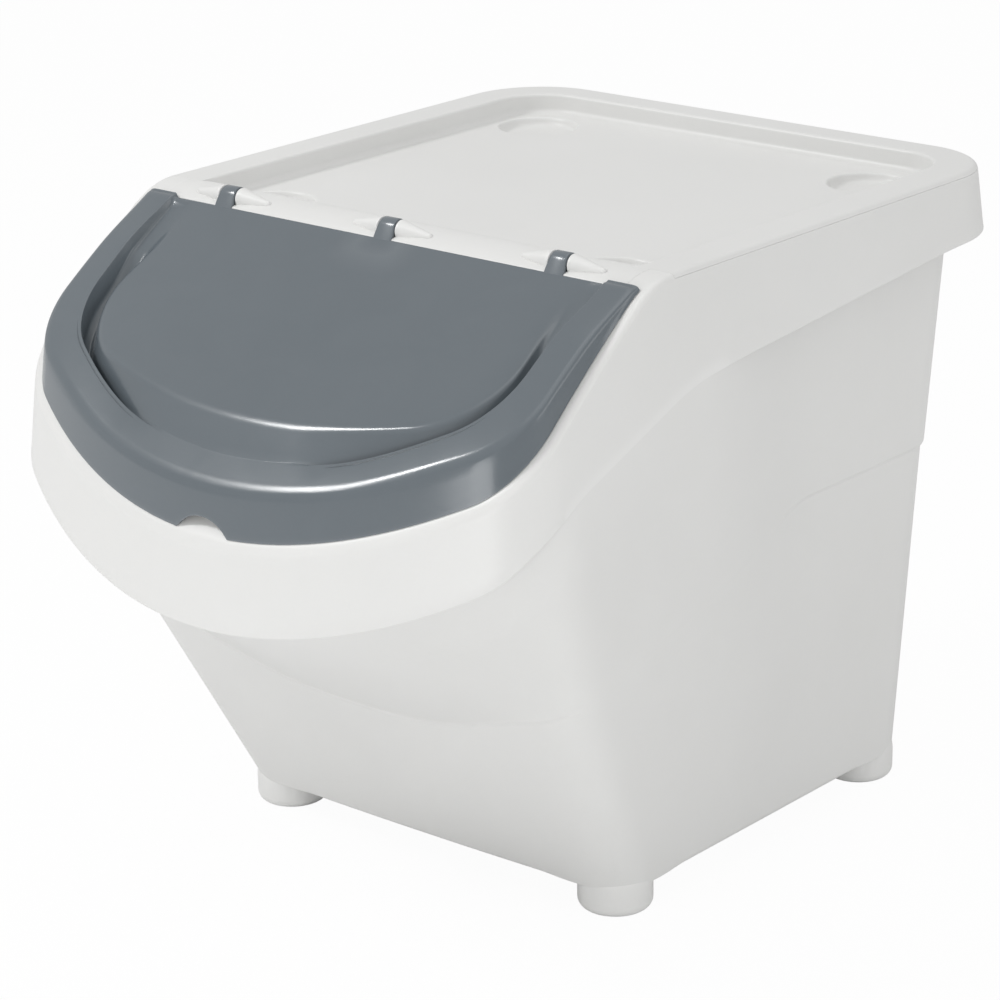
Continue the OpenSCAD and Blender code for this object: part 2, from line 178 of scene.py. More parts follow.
class Skin:
    # points with faces, and for each point the one that lies under it on the other side of the wall

    def __init__(self):
        self.top, self.under, self.faces = [], [], []

    def add(self, top, under, faces):
        start = sum(len(t) for t in self.top)
        self.top.append(np.asarray(top, float))
        self.under.append(np.asarray(under, float))
        self.faces += [tuple(start + i for i in f) for f in faces]

    def addGrid(self, top, under, closedColumns=False):
        rows, columns = len(top), len(top[0])
        self.add(np.vstack(top), np.vstack(under), gridFaces(rows, columns, closedColumns))

    def thick(self):
        # one closed wall: both skins, and a strip along every open edge
        top, under = np.vstack(self.top), np.vstack(self.under)
        _, first, number = np.unique(np.round(top / 0.004).astype(np.int64), axis=0,
                                     return_index=True, return_inverse=True)
        number = number.reshape(-1)
        top, under, count = top[first], under[first], len(first)
        faces, seen = [], {}
        for f in self.faces:
            g = [int(number[i]) for i in f]
            g = [v for i, v in enumerate(g) if v != g[i - 1]]
            if len(set(g)) < 3 or len(set(g)) != len(g):
                continue
            faces.append(tuple(g))
            for a, b in zip(g, g[1:] + g[:1]):
                seen[(a, b)] = seen.get((a, b), 0) + 1
        closed = list(faces) + [tuple(count + i for i in reversed(f)) for f in faces]
        closed += [(b, a, count + a, count + b) for (a, b) in seen if (b, a) not in seen]
        return np.vstack([top, under]), closed


def joinedMesh(name, parts):
    # one mesh from several closed parts, each a pair of points and faces
    points, faces, start = [], [], 0
    for partPoints, partFaces in parts:
        points.append(np.asarray(partPoints, float))
        faces += [tuple(start + i for i in f) for f in partFaces]
        start += len(partPoints)
    mesh = bpy.data.meshes.new(name)
    mesh.from_pydata((np.vstack(points) / 1000).tolist(), [], faces)
    return mesh


def makePiece(name, parts, node, body, material, angle):
    mesh = joinedMesh(name, parts)
    bm = bmesh.new()
    bm.from_mesh(mesh)
    bmesh.ops.remove_doubles(bm, verts=bm.verts, dist=2e-6)
    bmesh.ops.dissolve_degenerate(bm, edges=bm.edges, dist=1e-7)
    bmesh.ops.recalc_face_normals(bm, faces=bm.faces)
    openEdges = sum(1 for e in bm.edges if len(e.link_faces) != 2)
    bm.to_mesh(mesh)
    bm.free()
    mesh.shade_smooth()
    mesh.set_sharp_from_angle(angle=math.radians(angle))
    mesh.materials.append(material)
    piece = bpy.data.objects.new(name, mesh)
    bpy.context.scene.collection.objects.link(piece)
    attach(piece, body)
    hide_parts(node)
    print(f"bin: {name} has {len(mesh.polygons)} faces, {openEdges} open edges")
    return piece


def ringSolid(rings, closedLoop=False):
    # a closed solid through rings of points, its ends capped
    n, m = len(rings[0]), len(rings)
    faces = gridFaces(m, n, True, closedLoop)
    if not closedLoop:
        faces += [tuple(range(n - 1, -1, -1)), tuple((m - 1) * n + i for i in range(n))]
    return np.vstack(rings), faces


def revolved(profile, segments=64):
    # a closed solid from a profile of [radius, z] that starts and ends on the axis
    profile = np.array(profile, float)
    inner = profile[1:-1]
    angles = np.linspace(0, 2 * math.pi, segments, endpoint=False)
    rings = [np.column_stack([r * np.cos(angles), r * np.sin(angles), np.full(segments, z)]) for r, z in inner]
    points = np.vstack(rings + [[[0, 0, profile[0][1]]], [[0, 0, profile[-1][1]]]])
    faces = gridFaces(len(inner), segments, True)
    last = len(inner) * segments
    for j in range(segments):
        k = (j + 1) % segments
        faces.append((last, k, j))
        faces.append((last + 1, (len(inner) - 1) * segments + j, (len(inner) - 1) * segments + k))
    return points, faces


class Wire:
    # a socket or a number in an expression

    def __init__(self, nodes, socket):
        self.nodes, self.socket = nodes, socket

    def math(self, operation, *values):
        node = self.nodes.node("ShaderNodeMath", {"operation": operation}, {i: v for i, v in enumerate(values)})
        return node[0]

    def __add__(self, other): return self.math("ADD", self, other)
    def __radd__(self, other): return self.math("ADD", other, self)
    def __sub__(self, other): return self.math("SUBTRACT", self, other)
    def __mul__(self, other): return self.math("MULTIPLY", self, other)

    def clamped(self):
        node = self.nodes.node("ShaderNodeClamp", {}, {"Value": self})
        return node["Result"]

    def between(self, low, high):
        node = self.nodes.node("ShaderNodeMapRange", {"interpolation_type": "SMOOTHSTEP"},
                               {"Value": self, "From Min": low, "From Max": high})
        return node["Result"]


class Made:
    # a node whose outputs are asked for by name or number

    def __init__(self, nodes, node):
        self.nodes, self.node = nodes, node

    def __getitem__(self, key):
        return Wire(self.nodes, self.node.outputs[key])


class Nodes:
    # the node tree of a material or a world

    def __init__(self, tree):
        self.tree = tree
        tree.nodes.clear()

    def node(self, kind, settings, values):
        node = self.tree.nodes.new(kind)
        for name, value in settings.items():
            setattr(node, name, value)
        for key, value in values.items():
            socket = node.inputs[key]
            if isinstance(value, Wire):
                self.tree.links.new(value.socket, socket)
            else:
                socket.default_value = value
        return Made(self, node)

    def mixColour(self, factor, first, second):
        # the Mix node's sockets for colours are number 6 and 7, and its colour output is number 2
        node = self.tree.nodes.new("ShaderNodeMix")
        node.data_type, node.blend_type = "RGBA", "MIX"
        for key, value in ((0, factor), (6, first), (7, second)):
            if isinstance(value, Wire):
                self.tree.links.new(value.socket, node.inputs[key])
            else:
                node.inputs[key].default_value = value if key == 0 else (*value, 1)
        return Wire(self, node.outputs[2])


def mouldedPlastic(name, look):
    # injection-moulded plastic: a fine satin grain, slow changes of tone and gloss, paler edges
    material = bpy.data.materials.new(name)
    material.use_nodes = True
    nodes = Nodes(material.node_tree)
    place = nodes.node("ShaderNodeTexCoord", {}, {})["Object"]

    def noise(scale, detail=2.0, roughness=0.5, distortion=0.0):
        return nodes.node("ShaderNodeTexNoise", {"noise_dimensions": "3D"},
                          {"Vector": place, "Scale": scale, "Detail": detail, "Roughness": roughness,
                           "Distortion": distortion})["Fac"]

    cloud = noise(9.0, 3.0)
    flow = noise(26.0, 2.0, 0.6, 1.4)
    grain = noise(look["grainScale"], 3.0, 0.62)
    speck = noise(640.0, 1.0)
    edge = nodes.node("ShaderNodeNewGeometry", {}, {})["Pointiness"].between(0.505, 0.56)

    tone = ((cloud - 0.5) * look["cloudTone"] + (flow - 0.5) * look["flowTone"]
            + (speck - 0.5) * look["speckTone"])
    shade = nodes.mixColour((0.5 + tone).clamped(), look["dark"], look["light"])
    shade = nodes.mixColour(edge * look["edgeTone"], shade, look["edge"])
    gloss = look["roughness"] + (flow - 0.5) * 0.10 + (cloud - 0.5) * 0.06 + (grain - 0.5) * 0.05
    bump = nodes.node("ShaderNodeBump", {}, {"Height": grain * 0.7 + flow * 0.3, "Strength": look["bump"],
                                             "Distance": 0.0006})["Normal"]
    shader = nodes.node("ShaderNodeBsdfPrincipled", {}, {
        "Base Color": shade, "Roughness": gloss.clamped(), "Normal": bump,
        "Metallic": 0.0, "IOR": 1.49, "Specular IOR Level": look["specular"],
        "Coat Weight": look["coat"], "Coat Roughness": 0.12})
    nodes.node("ShaderNodeOutputMaterial", {}, {"Surface": shader[0]})
    return material


whitePlastic = mouldedPlastic("white moulded plastic", {
    "dark": (0.72, 0.72, 0.705), "light": (0.81, 0.81, 0.80), "edge": (0.86, 0.86, 0.85),
    "cloudTone": 0.5, "flowTone": 0.16, "speckTone": 0.12, "edgeTone": 0.35,
    "roughness": 0.35, "grainScale": 900.0, "bump": 0.05, "specular": 0.45, "coat": 0.0})
greyPlastic = mouldedPlastic("grey moulded plastic", {
    "dark": (0.112, 0.133, 0.150), "light": (0.136, 0.158, 0.176), "edge": (0.22, 0.24, 0.26),
    "cloudTone": 0.6, "flowTone": 0.3, "speckTone": 0.15, "edgeTone": 0.35,
    "roughness": 0.205, "grainScale": 900.0, "bump": 0.05, "specular": 0.6, "coat": 0.15})
print("bin: materials are ready")


tub = {
    "skirtHeight": 33.0, "skirtFlare": 3.5,
    "skirtBends": ((105.0, 0.083, 30.0), (-105.0, 0.31, 20.0), (-190.0, 0.25, 8.0), (-215.0, 0.37, 8.0)),
    "sideLand": 18.5, "backLand": 17.5, "frontOverhang": 14.0, "flush": (-105.0, 10.0),
    "chuteStart": -190.0, "chuteBlend": 45.0, "lean": 0.5, "stepHeight": 178.0, "stepDepth": 1.6,
    "creaseYs": (-265.0, -250.0, -225.0, -190.0, -10.0), "creaseZs": (93.0, 109.0, 123.0, 135.0, 178.0),
    "baseEdge": 4.0, "lipRound": 1.0, "coverGap": 0.1,
    "softStart": -85, "softBlend": 25, "softDepth": 1.1, "softReach": 25,
}
_, rimCornerY = frontCurve(bin["rimHalf"], -bin["rimFront"], bin["rimArc"], bin["rimFrontCorner"],
                           bin["rimBack"] - bin["rimCorner"], [0], 4, 4)
sideTop = bin["rimBack"] - bin["rimCorner"]
cutAt = [(sideTop - (landY + d)) / (sideTop - rimCornerY) for d in (0.01, -0.01)]
sideParts = np.unique(np.round(np.concatenate([np.linspace(0, 1, 84, endpoint=False), cutAt]), 7))
baseRing = planRing(bin["baseHalf"], bin["baseDepth"] / 2, bin["baseCorner"], -bin["baseDepth"] / 2,
                    bin["baseArc"], bin["baseCorner"], sideParts)
rimRing = planRing(bin["rimHalf"], bin["rimBack"], bin["rimCorner"], -bin["rimFront"],
                   bin["rimArc"], bin["rimFrontCorner"], sideParts)
skirtRing = rimRing.copy()
skirtRing[:, :2] = inset(rimRing, -tub["skirtFlare"])
ringY = rimRing[:, 1]
covered = ringY > landY                       # where the top cover lies in the rim


def skirtZ(y):
    return bin["height"] - tub["skirtHeight"] - sum(slope * ramp(at - np.asarray(y, float), blend)
                                                    for at, slope, blend in tub["skirtBends"])


def creaseZ(y):
    return sum(np.interp(np.asarray(y, float) + d, tub["creaseYs"], tub["creaseZs"])
               for d in np.linspace(-9, 9, 7)) / 7


chutePart = smooth((tub["chuteStart"] - skirtRing[:, 1]) / tub["chuteBlend"])
flushStart, flushEnd = tub["flush"]
landInset = (smooth((skirtRing[:, 1] - flushStart) / (flushEnd - flushStart))
             * (tub["sideLand"] - (tub["sideLand"] - tub["backLand"]) * np.maximum(skirtRing[:, 3], 0))
             + tub["frontOverhang"] * chutePart)
wallHere = bin["wall"] * (1 + 0.8 * chutePart)
topInset = np.maximum(landInset - tub["skirtFlare"], 1.2)

flushPart = smooth((tub["softStart"] - skirtRing[:, 1]) / tub["softBlend"]) * (1 - chutePart)
outwards = withZ(skirtRing[:, 2:], 0)


def softened(d):
    # how far the surface is drawn in, at a distance above or below the skirt's lower edge
    return tub["softDepth"] * flushPart * max(0.0, 1 - d / tub["softReach"]) ** 2


def baseLevel(d, z):
    return withZ(inset(baseRing, d), z)


def creaseLevel(d, side):
    r = inset(skirtRing, landInset)
    z = creaseZ(skirtRing[:, 1])
    rise = z - bin["footHeight"]
    upright = rise / (skirtZ(skirtRing[:, 1]) - bin["footHeight"])
    leaning = tub["lean"] * rise / np.maximum(1, -r[:, 1] - bin["baseDepth"] / 2)
    t = mix(upright, leaning, chutePart)[:, None]
    setIn = d * wallHere + (tub["stepDepth"] * smooth((r[:, 1] + 60) / 80) if side < 0 else 0)
    return withZ(mix(baseRing[:, :2], r, t) - setIn[:, None] * skirtRing[:, 2:], z + 0.8 * side)


def wallLevel(d):
    return withZ(inset(skirtRing, np.maximum(landInset, 0.02) + softened(0) + d * wallHere),
                 skirtZ(skirtRing[:, 1]))


def wallBelow(d):
    # a row of the outside wall some way below the skirt's lower edge
    top, bottom = wallLevel(0) + outwards * softened(0)[:, None], creaseLevel(0, 1)
    share = d / (top[:, 2] - bottom[:, 2])
    return mix(top, bottom, share[:, None]) - outwards * softened(d)[:, None]


def wallTop(d):
    xy = inset(rimRing, topInset + d)
    z = rimZ(xy[:, 1]) - bin["wall"] / 2
    return withZ(xy, np.where(covered, np.minimum(z, bin["height"] - bin["wall"] - tub["coverGap"]), z))


def fromFeet(xy):
    # how far points lie from the nearest foot's middle
    return np.hypot(np.abs(xy[:, 0]) - feet["pitchX"] / 2, np.abs(xy[:, 1]) - feet["pitchY"] / 2)


def makeShell():
    # the wall and floor of the tub, with a well over each foot
    foot, wall, edge = bin["footHeight"], bin["wall"], tub["baseEdge"]
    away = smooth((fromFeet(baseRing[:, :2]) - 21) / 16)        # 0 beside a foot, 1 clear of it
    outside = roundRows(
        [baseLevel(mix(1.2, edge + 3, away), foot), baseLevel(0, foot), creaseLevel(0, -1), creaseLevel(0, 1)]
        + [wallBelow(d) for d in (25, 19, 13, 7)] + [wallLevel(0), wallTop(0)],
        [mix(0.5, edge, away)[:, None], 2.2, 2.2, 3.0, 3.0, 3.0, 3.0, 2.0])
    inside = roundRows(
        [wallTop(wall), wallLevel(1), creaseLevel(1, 1), creaseLevel(1, -1), baseLevel(wall, foot + wall),
         baseLevel(wall + mix(0.1, edge + 3, away), foot + wall)],
        [6.0, 2.2, 2.2, mix(0.04, edge, away)[:, None]])
    rows = outside + inside
    points = np.vstack(rows)
    faces = gridFaces(len(rows), len(rows[0]), True)
    angles = np.linspace(0, 2 * math.pi, 48, endpoint=False)
    circle = np.column_stack([np.cos(angles), np.sin(angles)])
    wells = [circle * (feet["wellRadius"] - 1) + [x * feet["pitchX"] / 2, y * feet["pitchY"] / 2]
             for x in (-1, 1) for y in (-1, 1)]
    parts = [(points, faces)]
    for row, z, flip in ((rows[0], foot, True), (rows[-1], foot + wall, False)):
        made, tris = fillLoops(row[:, :2], wells)
        parts.append((withZ(made, z), [tuple(reversed(f)) for f in tris] if flip else tris))
    for well in wells:
        parts.append((np.vstack([withZ(well, foot), withZ(well, foot + wall)]), gridFaces(2, len(well), True)))
    return makePiece("tub_shell", parts, "tub", "bin", whitePlastic, 34)


def makeRim():
    # the rim, turned over outwards and down into the skirt; under the cover only the skirt's wall is left
    wall, edge = bin["wall"], bin["rimEdge"]
    lip = tub["lipRound"] * smooth((landInset - 0.6) / 3)
    skirt = skirtZ(skirtRing[:, 1])
    seat = bin["height"] - wall - tub["coverGap"]
    rows = []
    for a in np.linspace(0, math.pi, 9)[::-1]:                # round the lower edge, inside to outside
        rows.append(withZ(inset(skirtRing, wall / 2 * (1 - math.cos(a)) + softened(0)),
                          skirt + lip * (1 - math.sin(a))))
    low, high = withZ(skirtRing[:, :2], skirt), withZ(rimRing[:, :2], rimZ(ringY) - edge)
    for d in (6, 12, 18, 25):
        share = np.minimum(d / (high[:, 2] - low[:, 2]), d / 30)
        rows.append(mix(low, high, share[:, None]) - outwards * softened(d)[:, None])
    for a in np.linspace(0, math.pi / 2, 9):                  # round the outer edge
        xy = inset(rimRing, edge * (1 - math.cos(a)))
        z = rimZ(xy[:, 1]) - edge * (1 - math.sin(a))
        stop = edge * (1 - math.cos(math.asin(1 - (wall + tub["coverGap"]) / edge)))
        xy = np.where((covered & (z > seat))[:, None], inset(rimRing, mix(stop, 1.6, a / (math.pi / 2))), xy)
        rows.append(withZ(xy, np.where(covered, np.minimum(z, seat), z)))
    inner = np.maximum(bin["ledge"], topInset + wall + 0.1)

    def flange(d, drop, coveredInset, coveredZ):
        xy = inset(rimRing, d)
        z = rimZ(xy[:, 1]) - drop
        xy = np.where(covered[:, None], inset(rimRing, coveredInset), xy)
        return withZ(xy, np.where(covered, coveredZ, z))

    rows.append(flange(edge + 1, 0, 1.70, seat))
    rows.append(flange(inner - 1.6, 0, 1.80, seat))
    soft = mix(1.0, 0.06, smooth((ringY - hingeY + 8) / 8))     # square beside the cover
    rows.append(flange(inner - soft - 0.1, 0, 1.85, seat))
    for a in np.linspace(0, math.pi, 7):                      # the flange's rounded inner edge
        rows.append(flange(inner - soft + soft * math.sin(a),
                           1 - soft * math.cos(a) if a > 1.6 else soft * (1 - math.cos(a)), 1.9,
                           seat - 0.1 * a / math.pi))
    rows.append(flange(wall + 2.2, wall, 2.0, seat - 0.8))
    rows.append(flange(wall + 0.6, wall + 0.6, 2.0, seat - 1.6))
    rows.append(flange(wall, wall + 2.2, 2.0, seat - 2.4))
    return makePiece("tub_rim", [(np.vstack(rows), gridFaces(len(rows), len(rows[0]), True, True))],
                     "tub", "bin", whitePlastic, 34)


feet = {"pitchX": 207.0, "pitchY": 201.0, "radius": 18.0, "wellRadius": 15.0, "edge": 5.0, "floor": 2.0}


def repeatTree(name, material, onGrid):
    # Geometry Nodes that copy the object's own mesh to the points of a grid or a line
    tree = bpy.data.node_groups.new(name, "GeometryNodeTree")
    tree.interface.new_socket("Geometry", in_out="INPUT", socket_type="NodeSocketGeometry")
    inputs = {}
    for label in ("Pitch X", "Pitch Y") if onGrid else ("Pitch X",):
        inputs[label] = tree.interface.new_socket(label, in_out="INPUT", socket_type="NodeSocketFloat").identifier
    inputs["Count"] = tree.interface.new_socket("Count", in_out="INPUT", socket_type="NodeSocketInt").identifier
    tree.interface.new_socket("Geometry", in_out="OUTPUT", socket_type="NodeSocketGeometry")
    start, end = tree.nodes.new("NodeGroupInput"), tree.nodes.new("NodeGroupOutput")
    if onGrid:
        spots = tree.nodes.new("GeometryNodeMeshGrid")
        tree.links.new(start.outputs["Pitch X"], spots.inputs["Size X"])
        tree.links.new(start.outputs["Pitch Y"], spots.inputs["Size Y"])
        tree.links.new(start.outputs["Count"], spots.inputs["Vertices X"])
        tree.links.new(start.outputs["Count"], spots.inputs["Vertices Y"])
    else:
        spots = tree.nodes.new("GeometryNodeMeshLine")
        step, back = tree.nodes.new("ShaderNodeCombineXYZ"), tree.nodes.new("ShaderNodeCombineXYZ")
        less, half, first = (tree.nodes.new("ShaderNodeMath") for _ in range(3))
        less.operation, half.operation, first.operation = "SUBTRACT", "MULTIPLY", "MULTIPLY"
        less.inputs[1].default_value, half.inputs[1].default_value = 1.0, -0.5
        tree.links.new(start.outputs["Count"], less.inputs[0])
        tree.links.new(less.outputs[0], half.inputs[0])
        tree.links.new(half.outputs[0], first.inputs[0])
        tree.links.new(start.outputs["Pitch X"], first.inputs[1])
        tree.links.new(first.outputs[0], back.inputs["X"])
        tree.links.new(start.outputs["Pitch X"], step.inputs["X"])
        tree.links.new(start.outputs["Count"], spots.inputs["Count"])
        tree.links.new(back.outputs[0], spots.inputs["Start Location"])
        tree.links.new(step.outputs[0], spots.inputs["Offset"])
    copies = tree.nodes.new("GeometryNodeInstanceOnPoints")
    real = tree.nodes.new("GeometryNodeRealizeInstances")
    paint = tree.nodes.new("GeometryNodeSetMaterial")
    paint.inputs["Material"].default_value = material
    tree.links.new(spots.outputs["Mesh"], copies.inputs["Points"])
    tree.links.new(start.outputs["Geometry"], copies.inputs["Instance"])
    tree.links.new(copies.outputs[0], real.inputs[0])
    tree.links.new(real.outputs[0], paint.inputs["Geometry"])
    tree.links.new(paint.outputs[0], end.inputs[0])
    return tree, inputs


def repeated(name, parts, material, onGrid, values):
    # points and faces of one closed part, repeated by the tree and turned back into a plain mesh
    one = bpy.data.objects.new(name + " one", joinedMesh(name + " one", parts))
    bpy.context.scene.collection.objects.link(one)
    tree, inputs = repeatTree(name + " copies", material, onGrid)
    modifier = one.modifiers.new("copies", "NODES")
    modifier.node_group = tree
    for label, value in values.items():
        modifier[inputs[label]] = value
    bpy.context.view_layer.update()
    graph = bpy.context.evaluated_depsgraph_get()
    plain = bpy.data.meshes.new_from_object(one.evaluated_get(graph))
    points = np.zeros(len(plain.vertices) * 3)
    plain.vertices.foreach_get("co", points)
    faces = [tuple(p.vertices) for p in plain.polygons]
    one.modifiers.remove(modifier)
    bpy.data.objects.remove(one)
    return points.reshape(-1, 3) * 1000, faces


def makeFeet():
    r, well, edge, floor, top = feet["radius"], feet["wellRadius"], feet["edge"], feet["floor"], bin["footHeight"]
    profile = [(0, 0), (4, 0), (9, 0), (r - edge - 0.6, 0)]
    profile += [(r - edge + edge * math.sin(a), edge - edge * math.cos(a))
                for a in np.linspace(0, math.pi / 2, 10)]
    profile += [(r, top - 0.5), (r - 0.08, top + 1), (r - 0.35, top + 2.5), (r - 0.8, top + 4)]
    profile += [(r - 1.4, top + 5.5), (r - 2.1, top + 7), (r - 2.4, top + 7), (well, top + 0.8)]
    profile += [(well - 0.1, floor + 2), (well - 0.6, floor + 0.8), (well - 2, floor), (7, floor), (0, floor)]
    points, faces = repeated("feet", [revolved(profile)], whitePlastic, True,
                             {"Pitch X": feet["pitchX"] / 1000, "Pitch Y": feet["pitchY"] / 1000, "Count": 2})
    outside = np.hypot(np.maximum(np.abs(points[:, 0]) - 100, 0), np.maximum(np.abs(points[:, 1]) - 97.5, 0))
    inWall = (outside > 19.2) & (np.abs(points[:, 0]) > 90) & (np.abs(points[:, 1]) > 88)
    points[:, 2] = np.where(inWall, points[:, 2], np.minimum(points[:, 2], top + 0.8))
    return makePiece("feet", [(points, faces)], "tub", "bin", whitePlastic, 50)


makeShell()
makeRim()
makeFeet()
print("bin: the tub is made")


cover = {
    "sideLand": 21.5, "backLand": 19.5, "depth": 10.0, "corner": 26.0, "topRound": 1.6, "floorRound": 3.0,
    "dimpleDepth": 4.5, "railLip": 6.0, "seat": 0.4, "slotWidth": 10.5, "fairing": 18.3, "lipRound": 0.8,
    # radius, and how far down the dimple the surface is there
    "dimpleSteps": ((22.4, 0), (21.4, 0), (20.9, 0.02), (20.45, 0.10), (20.1, 0.24), (19.85, 0.42), (19.5, 0.62),
                    (18.9, 0.80), (18.0, 0.92), (16.8, 0.98), (15.2, 1), (8, 1), (0.0, 1)),
}
hinge = {"pitch": 100.0, "pinY": hingeY + 7.6, "pinZ": bin["height"] - 1.0, "pinRadius": 3.0, "hookRadius": 5.05,
         "hookWall": 2.0, "topWidth": 8.6, "rootWidth": 10.4, "slotBack": 8.06}
trayHalf = bin["rimHalf"] - cover["sideLand"]
trayBack = bin["rimBack"] - cover["backLand"]
floorZ = bin["height"] - cover["depth"]
railY, railZ = landY, bin["height"] - 4.4
railStart = -feet["pitchY"] / 2
coverFront = hingeY + cover["seat"]
tongueX = bin["rimHalf"] - bin["ledge"] - 0.06


def floorAt(y):
    # the recess's floor, which rises to the land in front and bends down with it to the hinge
    y = np.asarray(y, float)
    return mix(floorZ, rimZ(y), smooth((railStart - y) / (railStart - railY)))


def makeBand():
    # the land round the tray, the tray's wall and the edge of its floor, from front left round the back
    back = [[(trayHalf - cover["corner"]) * i / 14, trayBack, 0, 1, (bin["rimHalf"] - bin["rimCorner"]) * i / 14,
             bin["rimBack"]] for i in range(14)]
    corner = []
    for i in range(20):
        a = math.pi / 2 * (1 - i / 20)
        c, s = math.cos(a), math.sin(a)
        corner.append([trayHalf - cover["corner"] * (1 - c), trayBack - cover["corner"] * (1 - s), c, s,
                       bin["rimHalf"] - bin["rimCorner"] * (1 - c), bin["rimBack"] - bin["rimCorner"] * (1 - s)])
    cut = landY + tub["coverGap"]
    ys = np.concatenate([np.linspace(trayBack - cover["corner"], cut + 0.01, 46),
                         np.linspace(cut - 0.01, coverFront, 14)])
    side = [[trayHalf, y, 1, 0, bin["rimHalf"], y + (sideTop - trayBack + cover["corner"])
             * np.clip((y - 60) / (trayBack - cover["corner"] - 60), 0, 1)] for y in ys]
    half = np.array(back + corner + side)
    full = np.vstack([half[::-1] * [-1, 1, -1, 1, -1, 1], half[1:]])
    edge, wall = bin["rimEdge"], bin["wall"]
    inner, normal, outer = full[:, :2], full[:, 2:4], full[:, 4:6]
    tongue = full[:, 1] < cut
    topZ = rimZ(full[:, 1])
    low = floorAt(full[:, 1])
    scale = np.clip((topZ - low - 0.2) / 5, 0, 1)

    def at(d, z):
        return withZ(inner + normal * np.asarray(d, float).reshape(-1, 1), z)

    def outerAt(d, z, tongueD, tongueZ):
        xy = outer - normal * d
        xy = np.where(tongue[:, None], np.column_stack([np.sign(full[:, 0]) * (tongueX - tongueD), full[:, 1]]), xy)
        return withZ(xy, np.where(tongue, tongueZ, z))

    top, under = [], []
    start = math.asin(1 - wall / edge)
    for i, a in enumerate(np.linspace(start, math.pi / 2, 8)):
        part = i / 7
        top.append(outerAt(edge * (1 - math.cos(a)), topZ - edge * (1 - math.sin(a)),
                           0, topZ - wall * (1 - part)))
        under.append(outerAt(1.4 + 3 * part, topZ - wall, 0.5 + 0.7 * part, topZ - wall))
    for part in (0.01, 0.12, 0.5, 0.88, 0.99):
        top.append(mix(top[7], at(cover["topRound"] * scale + 0.6, topZ), part))
        under.append(mix(under[7], at(wall + 1.6, topZ - wall), part))
    r = cover["topRound"] * scale
    for a in np.linspace(0, math.pi / 2, 8):
        top.append(at(r * (1 - math.sin(a)), topZ - r * (1 - math.cos(a))))
        under.append(at(wall + 1.2 - 1.2 * a / (math.pi / 2), topZ - wall))
    r2 = cover["floorRound"] * scale
    draft = 0.5 * scale
    top.append(at(-draft / 2, mix(topZ - r, low + r2, 0.5)))
    under.append(at(wall - draft / 2, np.minimum(mix(topZ - wall, low + r2 - 1, 0.5), topZ - wall)))
    for a in np.linspace(0, math.pi / 2, 9):
        top.append(at(-draft - r2 * (1 - math.cos(a)), low + r2 * (1 - math.sin(a))))
        under.append(at(wall - draft - (r2 + wall) * (1 - math.cos(a)),
                        np.minimum(low - wall + (r2 + wall) * (1 - math.sin(a)), topZ - wall)))
    last = at(-draft - r2 - 2.0, low)
    top.append(last)
    under.append(last - [0, 0, wall])
    return top, under, last


def dimpleRing(cx, cy, r):
    a = np.linspace(0, 2 * math.pi, 72, endpoint=False)
    return np.column_stack([cx + r * np.cos(a), cy + r * np.sin(a)])


